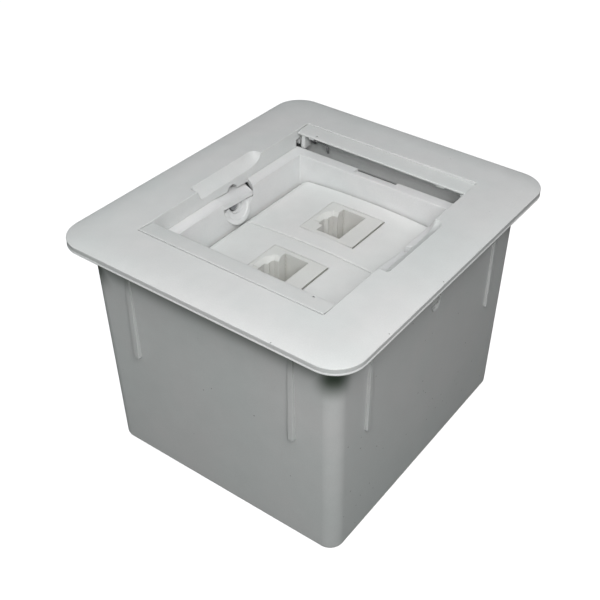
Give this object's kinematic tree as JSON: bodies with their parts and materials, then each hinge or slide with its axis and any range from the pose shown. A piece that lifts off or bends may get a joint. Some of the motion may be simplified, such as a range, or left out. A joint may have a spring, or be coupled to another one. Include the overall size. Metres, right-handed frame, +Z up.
{
  "type": "flush data outlet box",
  "caption": "Deep flush-mounting outlet box with a rounded trim frame, sunken module tray with network jacks, sprung cable-exit flaps and screw-driven clamp jaws.",
  "frame": {"origin": "centre of the bowl's flat underside", "axes": "+X across the box along the flaps, +Y from the front to the rear flap, +Z up out of the window"},
  "size_m": [0.081, 0.0918, 0.0653],
  "materials": {
    "frame_abs": "satin light grey-white moulded ABS, faint texture",
    "bowl_abs": "satin light grey moulded ABS",
    "tray_abs": "satin white moulded ABS",
    "flap_abs": "satin light grey-white moulded ABS",
    "plate_abs": "semi-gloss white moulded plate",
    "jack_abs": "satin white moulded housing",
    "contact_gold": "gold-plated spring contacts in a carrier",
    "spring_steel": "dark spring wire",
    "zinc_steel": "bright zinc plate",
    "board_green": "solder-masked circuit board",
    "block_white": "moulded wiring block",
    "cap_clear_grey": "moulded wire cap",
    "jaw_nylon": "dark nylon",
    "grommet_rubber": "black rubber"
  },
  "bodies": {
    "box": {"trim_frame": "frame_abs", "box_body": "bowl_abs", "module_tray": "tray_abs", "flap_spring_front": "spring_steel", "flap_spring_rear": "spring_steel", "module_plate_front": "plate_abs", "module_plate_rear": "plate_abs", "jack_housing_front": "jack_abs", "jack_housing_rear": "jack_abs", "jack_contacts_front": "contact_gold", "jack_contacts_rear": "contact_gold", "jack_board_front": "board_green", "jack_board_rear": "board_green", "jack_wiring_block_front": "block_white", "jack_wiring_block_rear": "block_white", "jack_wire_cap_front": "cap_clear_grey", "jack_wire_cap_rear": "cap_clear_grey", "tray_screw_front_left": "zinc_steel", "tray_screw_front_right": "zinc_steel", "tray_screw_rear_left": "zinc_steel", "tray_screw_rear_right": "zinc_steel", "cable_grommet": "grommet_rubber"},
    "flap_front": {"flap_front": "flap_abs"},
    "flap_rear": {"flap_rear": "flap_abs"},
    "clamp_screw_left": {"clamp_screw_left": "zinc_steel"},
    "clamp_screw_right": {"clamp_screw_right": "zinc_steel"},
    "clamp_jaw_left": {"clamp_jaw_left": "jaw_nylon"},
    "clamp_jaw_right": {"clamp_jaw_right": "jaw_nylon"}
  },
  "joints": [
    {"name": "flap_front_hinge", "type": "hinge", "parent": "box", "child": "flap_front", "pos_m": [0, -0.0313, 0.0624], "axis": [-1, 0, 0], "range_deg": [-2.5, 38], "stiffness_Nm_per_rad": 0.002, "springref_deg": -17.19, "deforming": ["flap_spring_front"]},
    {"name": "flap_rear_hinge", "type": "hinge", "parent": "box", "child": "flap_rear", "pos_m": [0, 0.0313, 0.06205], "axis": [1, 0, -0.0087], "range_deg": [0, 36], "stiffness_Nm_per_rad": 0.002, "springref_deg": -17.19, "deforming": ["flap_spring_rear"]},
    {"name": "clamp_screw_left_turn", "type": "hinge", "parent": "box", "child": "clamp_screw_left", "pos_m": [-0.0228, -0.0012, 0.0575], "axis": [-0.9397, 0, -0.342], "range_deg": [0, 2016]},
    {"name": "clamp_jaw_left_slide", "type": "slide", "parent": "box", "child": "clamp_jaw_left", "axis": [-0.9397, 0, -0.342], "range_m": [0, 0.0028]},
    {"name": "clamp_screw_right_turn", "type": "hinge", "parent": "box", "child": "clamp_screw_right", "pos_m": [0.0228, -0.0012, 0.0575], "axis": [0.9397, 0, -0.342], "range_deg": [0, 2016]},
    {"name": "clamp_jaw_right_slide", "type": "slide", "parent": "box", "child": "clamp_jaw_right", "axis": [0.9397, 0, -0.342], "range_m": [0, 0.0028]}
  ],
  "couplings": [
    {"joint": "clamp_screw_left_turn", "follows": "clamp_jaw_left_slide", "rad_per_m": 12566},
    {"joint": "clamp_screw_right_turn", "follows": "clamp_jaw_right_slide", "rad_per_m": 12566}
  ]
}
